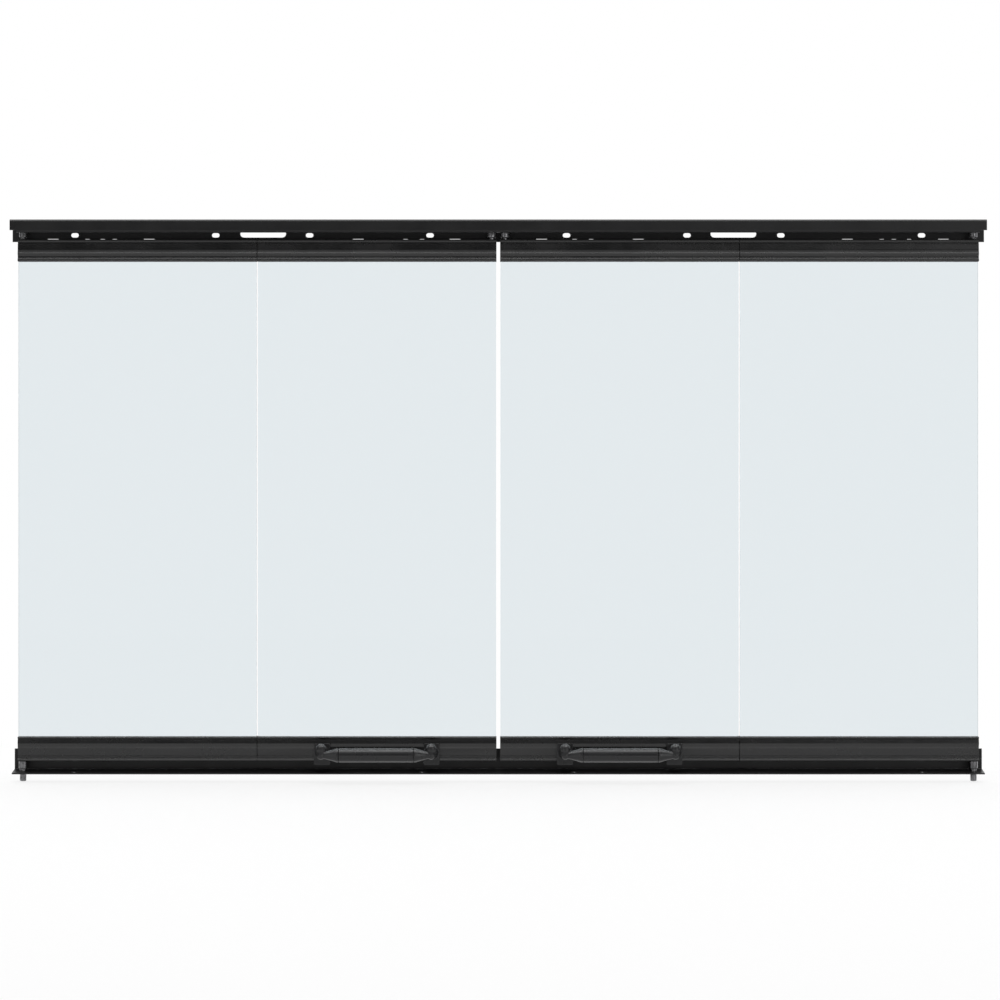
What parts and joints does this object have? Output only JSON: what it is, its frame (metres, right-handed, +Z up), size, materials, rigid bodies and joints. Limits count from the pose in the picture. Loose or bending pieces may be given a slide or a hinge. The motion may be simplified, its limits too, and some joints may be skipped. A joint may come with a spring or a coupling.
{
  "type": "fireplace glass door",
  "caption": "Bi-fold glass door set for a built-in fireplace: rails and tracks in black steel, clear glass panels, bar handles",
  "frame": {"origin": "middle of the bottom track's rear face, halfway up its wall", "axes": "+X along the tracks towards the right door as seen from the room, -Y into the room, +Z up"},
  "size_m": [0.911, 0.0471, 0.5244],
  "materials": {
    "track_paint": "satin black paint on folded steel",
    "rail_paint": "satin black paint",
    "handle_paint": "semi-gloss black",
    "door_glass": "clear tempered glass",
    "gasket_rubber": "matte heat-proof rubber",
    "block_nylon": "matte, moulded",
    "pin_steel": "dark turned steel"
  },
  "bodies": {
    "tracks": {"top_track": "track_paint", "bottom_track": "track_paint"},
    "left_outer_panel": {"left_outer_glass": "door_glass", "left_outer_top_rail": "rail_paint", "left_outer_bottom_rail": "rail_paint", "left_outer_top_gasket": "gasket_rubber", "left_outer_bottom_gasket": "gasket_rubber", "left_top_pivot_block": "block_nylon", "left_bottom_pivot_block": "block_nylon", "left_bottom_pivot_pin": "pin_steel", "left_pivot_spring": "pin_steel", "left_outer_top_hinge_leaf": "track_paint", "left_outer_bottom_hinge_leaf": "track_paint", "left_top_hinge_pin": "pin_steel", "left_bottom_hinge_pin": "pin_steel"},
    "left_top_pivot": {"left_top_pivot_pin": "pin_steel"},
    "left_inner_panel": {"left_inner_glass": "door_glass", "left_inner_top_rail": "rail_paint", "left_inner_bottom_rail": "rail_paint", "left_inner_top_gasket": "gasket_rubber", "left_inner_bottom_gasket": "gasket_rubber", "left_guide_block": "block_nylon", "left_guide_pin": "pin_steel", "left_inner_top_hinge_leaf": "track_paint", "left_inner_bottom_hinge_leaf": "track_paint", "left_handle_grip": "handle_paint", "left_handle_outer_mount": "handle_paint", "left_handle_inner_mount": "handle_paint", "left_handle_outer_screw": "pin_steel", "left_handle_inner_screw": "pin_steel"},
    "right_outer_panel": {"right_outer_glass": "door_glass", "right_outer_top_rail": "rail_paint", "right_outer_bottom_rail": "rail_paint", "right_outer_top_gasket": "gasket_rubber", "right_outer_bottom_gasket": "gasket_rubber", "right_top_pivot_block": "block_nylon", "right_bottom_pivot_block": "block_nylon", "right_bottom_pivot_pin": "pin_steel", "right_pivot_spring": "pin_steel", "right_outer_top_hinge_leaf": "track_paint", "right_outer_bottom_hinge_leaf": "track_paint", "right_top_hinge_pin": "pin_steel", "right_bottom_hinge_pin": "pin_steel"},
    "right_top_pivot": {"right_top_pivot_pin": "pin_steel"},
    "right_inner_panel": {"right_inner_glass": "door_glass", "right_inner_top_rail": "rail_paint", "right_inner_bottom_rail": "rail_paint", "right_inner_top_gasket": "gasket_rubber", "right_inner_bottom_gasket": "gasket_rubber", "right_guide_block": "block_nylon", "right_guide_pin": "pin_steel", "right_inner_top_hinge_leaf": "track_paint", "right_inner_bottom_hinge_leaf": "track_paint", "right_handle_grip": "handle_paint", "right_handle_outer_mount": "handle_paint", "right_handle_inner_mount": "handle_paint", "right_handle_outer_screw": "pin_steel", "right_handle_inner_screw": "pin_steel"}
  },
  "joints": [
    {"name": "left_outer_swing", "type": "hinge", "parent": "tracks", "child": "left_outer_panel", "pos_m": [-0.4443, -0.011, 0], "axis": [0, 0, -1], "range_deg": [0, 85]},
    {"name": "left_inner_fold", "type": "hinge", "parent": "left_outer_panel", "child": "left_inner_panel", "pos_m": [-0.22525, -0.0029, 0], "axis": [0, 0, 1], "range_deg": [0, 170]},
    {"name": "left_top_pivot_travel", "type": "slide", "parent": "left_outer_panel", "child": "left_top_pivot", "axis": [0, 0, 1], "range_m": [-0.0018, 0], "stiffness_N_per_m": 2000, "springref_m": 0.003, "deforming": ["left_pivot_spring"]},
    {"name": "right_outer_swing", "type": "hinge", "parent": "tracks", "child": "right_outer_panel", "pos_m": [0.4443, -0.011, 0], "axis": [0, 0, 1], "range_deg": [0, 85]},
    {"name": "right_inner_fold", "type": "hinge", "parent": "right_outer_panel", "child": "right_inner_panel", "pos_m": [0.22525, -0.0029, 0], "axis": [0, 0, -1], "range_deg": [0, 170]},
    {"name": "right_top_pivot_travel", "type": "slide", "parent": "right_outer_panel", "child": "right_top_pivot", "axis": [0, 0, 1], "range_m": [-0.0018, 0], "stiffness_N_per_m": 2000, "springref_m": 0.003, "deforming": ["right_pivot_spring"]}
  ],
  "couplings": [
    {"joint": "left_inner_fold", "follows": "left_outer_swing", "ratio": 2},
    {"joint": "right_inner_fold", "follows": "right_outer_swing", "ratio": 2}
  ]
}
